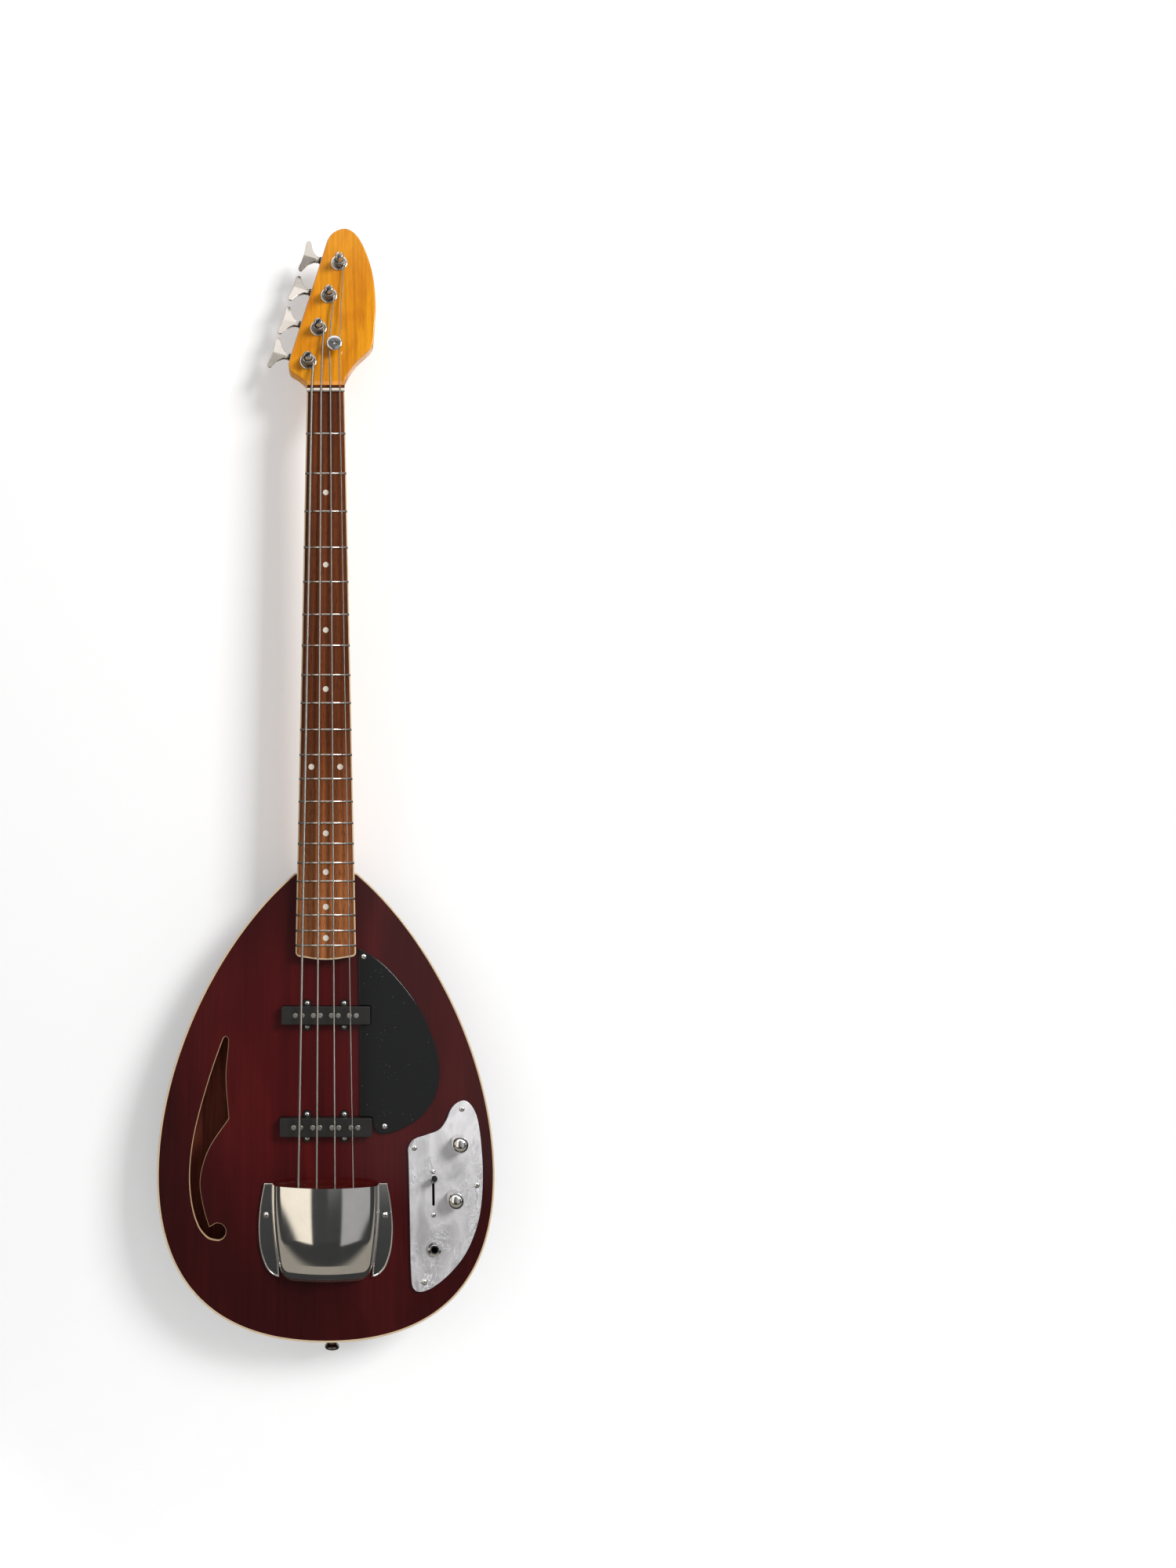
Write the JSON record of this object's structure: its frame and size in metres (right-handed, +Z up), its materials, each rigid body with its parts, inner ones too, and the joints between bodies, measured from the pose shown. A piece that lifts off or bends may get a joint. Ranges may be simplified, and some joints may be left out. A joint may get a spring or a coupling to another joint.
{
  "type": "semi-hollow electric bass guitar",
  "caption": "Semi-hollow teardrop electric bass with bound cherry body, bolt-on maple neck, in-line tuners, two blade-shaped pickups and a chrome bridge cover.",
  "frame": {"origin": "the middle of the nut on the playing surface of the fingerboard, where a wall hanger's yoke holds the neck", "axes": "+X across the strings towards the thinnest string's side, +Y from the face to the back, +Z up the neck towards the headstock; the instrument hangs upright"},
  "size_m": [0.3474, 0.0739, 1.2208],
  "materials": {
    "cherry_lacquer": "gloss lacquer",
    "cream_plastic": "polished",
    "maple_lacquer": "gloss lacquer",
    "rosewood": "oiled",
    "bone_plastic": "satin",
    "chrome": "polished",
    "nickel": "polished",
    "steel": "plain",
    "brass": "plain",
    "black_plastic": "gloss",
    "matte_black_plastic": "matte",
    "pearl_plastic": "pearl gloss"
  },
  "bodies": {
    "instrument": {"body_shell": "cherry_lacquer", "top_plate": "cherry_lacquer", "body_binding": "cream_plastic", "neck": "maple_lacquer", "fingerboard": "rosewood", "fingerboard_binding": "cream_plastic", "nut": "bone_plastic", "truss_rod": "steel", "string_retainer": "chrome", "neck_plate": "chrome", "strap_button_neck": "nickel", "strap_button_end": "nickel", "pickguard": "black_plastic", "control_plate": "pearl_plastic", "volume_potentiometer": "steel", "tone_potentiometer": "steel", "switch_frame": "steel", "output_jack": "chrome", "bridge_plate": "chrome", "bridge_cover": "chrome", "cover_screw_left": "chrome", "cover_screw_right": "chrome", "neck_pickup_cover": "matte_black_plastic", "bridge_pickup_cover": "matte_black_plastic", "neck_pickup_coil": "steel", "bridge_pickup_coil": "steel", "neck_screw_1": "chrome", "tuner_housing_1": "chrome", "tuner_bushing_1": "chrome", "neck_screw_2": "chrome", "tuner_housing_2": "chrome", "tuner_bushing_2": "chrome", "neck_screw_3": "chrome", "tuner_housing_3": "chrome", "tuner_bushing_3": "chrome", "neck_screw_4": "chrome", "tuner_housing_4": "chrome", "tuner_bushing_4": "chrome", "string_e": "nickel", "string_a": "nickel", "string_d": "nickel", "string_g": "nickel"},
    "key_1": {"tuner_key_1": "nickel"},
    "post_1": {"tuner_post_1": "chrome"},
    "key_2": {"tuner_key_2": "nickel"},
    "post_2": {"tuner_post_2": "chrome"},
    "key_3": {"tuner_key_3": "nickel"},
    "post_3": {"tuner_post_3": "chrome"},
    "key_4": {"tuner_key_4": "nickel"},
    "post_4": {"tuner_post_4": "chrome"},
    "volume_control": {"volume_knob": "chrome", "volume_shaft": "brass"},
    "tone_control": {"tone_knob": "chrome", "tone_shaft": "brass"},
    "switch": {"switch_lever": "black_plastic"},
    "saddle_e": {"saddle_e": "brass"},
    "saddle_a": {"saddle_a": "brass"},
    "saddle_d": {"saddle_d": "brass"},
    "saddle_g": {"saddle_g": "brass"}
  },
  "joints": [
    {"name": "key_1_turn", "type": "hinge", "parent": "instrument", "child": "key_1", "pos_m": [-0.0171, 0.0318, 0.05041], "axis": [-0.9588, 0, 0.2842], "continuous": true},
    {"name": "post_1_turn", "type": "hinge", "parent": "instrument", "child": "post_1", "pos_m": [-0.0198, 0.011, 0.0413], "axis": [0, -1, 0], "continuous": true},
    {"name": "key_2_turn", "type": "hinge", "parent": "instrument", "child": "key_2", "pos_m": [-0.00545, 0.0318, 0.08971], "axis": [-0.9588, 0, 0.2842], "continuous": true},
    {"name": "post_2_turn", "type": "hinge", "parent": "instrument", "child": "post_2", "pos_m": [-0.00815, 0.011, 0.0806], "axis": [0, -1, 0], "continuous": true},
    {"name": "key_3_turn", "type": "hinge", "parent": "instrument", "child": "key_3", "pos_m": [0.0062, 0.0318, 0.12901], "axis": [-0.9588, 0, 0.2842], "continuous": true},
    {"name": "post_3_turn", "type": "hinge", "parent": "instrument", "child": "post_3", "pos_m": [0.0035, 0.011, 0.1199], "axis": [0, -1, 0], "continuous": true},
    {"name": "key_4_turn", "type": "hinge", "parent": "instrument", "child": "key_4", "pos_m": [0.01785, 0.0318, 0.16831], "axis": [-0.9588, 0, 0.2842], "continuous": true},
    {"name": "post_4_turn", "type": "hinge", "parent": "instrument", "child": "post_4", "pos_m": [0.01515, 0.011, 0.1592], "axis": [0, -1, 0], "continuous": true},
    {"name": "volume_turn", "type": "hinge", "parent": "instrument", "child": "volume_control", "pos_m": [0.1371, 0, -0.8084], "axis": [0, -1, 0], "range_deg": [-150, 150]},
    {"name": "tone_turn", "type": "hinge", "parent": "instrument", "child": "tone_control", "pos_m": [0.1317, 0, -0.8634], "axis": [0, -1, 0], "range_deg": [-150, 150]},
    {"name": "switch_throw", "type": "hinge", "parent": "instrument", "child": "switch", "pos_m": [0.1102, 0.03, -0.8561], "axis": [1, 0, 0], "range_deg": [0, 46]},
    {"name": "saddle_e_slide", "type": "slide", "parent": "instrument", "child": "saddle_e", "axis": [0, 0, 1], "range_m": [-0.003, 0.003]},
    {"name": "saddle_a_slide", "type": "slide", "parent": "instrument", "child": "saddle_a", "axis": [0, 0, 1], "range_m": [-0.003, 0.003]},
    {"name": "saddle_d_slide", "type": "slide", "parent": "instrument", "child": "saddle_d", "axis": [0, 0, 1], "range_m": [-0.003, 0.003]},
    {"name": "saddle_g_slide", "type": "slide", "parent": "instrument", "child": "saddle_g", "axis": [0, 0, 1], "range_m": [-0.003, 0.003]}
  ],
  "couplings": [
    {"joint": "post_1_turn", "follows": "key_1_turn", "ratio": 0.05},
    {"joint": "post_2_turn", "follows": "key_2_turn", "ratio": 0.05},
    {"joint": "post_3_turn", "follows": "key_3_turn", "ratio": 0.05},
    {"joint": "post_4_turn", "follows": "key_4_turn", "ratio": 0.05}
  ]
}
